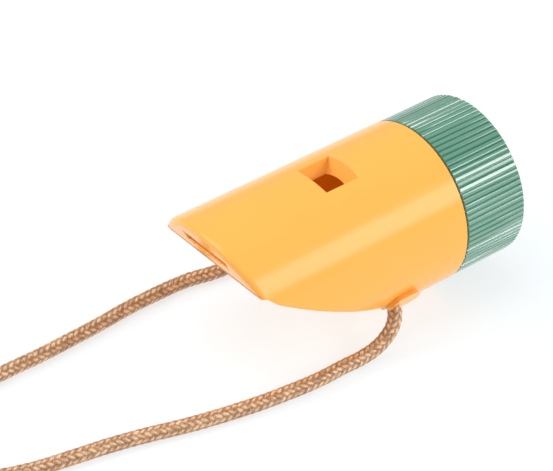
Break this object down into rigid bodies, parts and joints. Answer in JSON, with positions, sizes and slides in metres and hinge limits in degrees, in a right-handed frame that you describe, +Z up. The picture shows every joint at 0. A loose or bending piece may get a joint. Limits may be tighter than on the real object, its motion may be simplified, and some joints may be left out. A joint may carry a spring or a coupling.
{
  "type": "training whistle",
  "caption": "Hand-blown training whistle with a slanted beak, a top window, a ribbed twist cap that sets the pitch, and a braided neck cord.",
  "frame": {"origin": "on the ground under the middle of the whistle, cord left out", "axes": "+X along the barrel from the mouth to the cap, +Z up through the window"},
  "size_m": [0.1448, 0.0456, 0.028],
  "materials": {
    "yellow_plastic": "glossy moulded",
    "green_plastic": "satin moulded, ribbed",
    "inner_plastic": "natural moulded",
    "steel": "turned",
    "seal_rubber": "smooth",
    "tie_rubber": "matte",
    "cord": "braided synthetic"
  },
  "bodies": {
    "whistle": {"barrel": "yellow_plastic", "windway_block": "yellow_plastic", "rear_collar": "inner_plastic", "collar_screws": "steel", "friction_ring": "seal_rubber", "retaining_ring": "steel", "thrust_washer": "steel", "cord_near": "cord", "cord_far": "cord", "cord_coil": "cord", "coil_ties": "tie_rubber", "cord_knot": "cord"},
    "cap": {"tuning_cap": "green_plastic", "cap_end_disc": "green_plastic", "lead_screw": "steel"},
    "piston": {"piston": "inner_plastic", "piston_seal": "seal_rubber"}
  },
  "joints": [
    {"name": "cap_turn", "type": "hinge", "parent": "whistle", "child": "cap", "pos_m": [0.022, 0, 0.014], "axis": [1, 0, 0], "range_deg": [-360, 360]},
    {"name": "piston_slide", "type": "slide", "parent": "whistle", "child": "piston", "axis": [-1, 0, 0], "range_m": [-0.0024, 0.0024]}
  ],
  "couplings": [
    {"joint": "piston_slide", "follows": "cap_turn", "m_per_rad": 0.00038197}
  ]
}
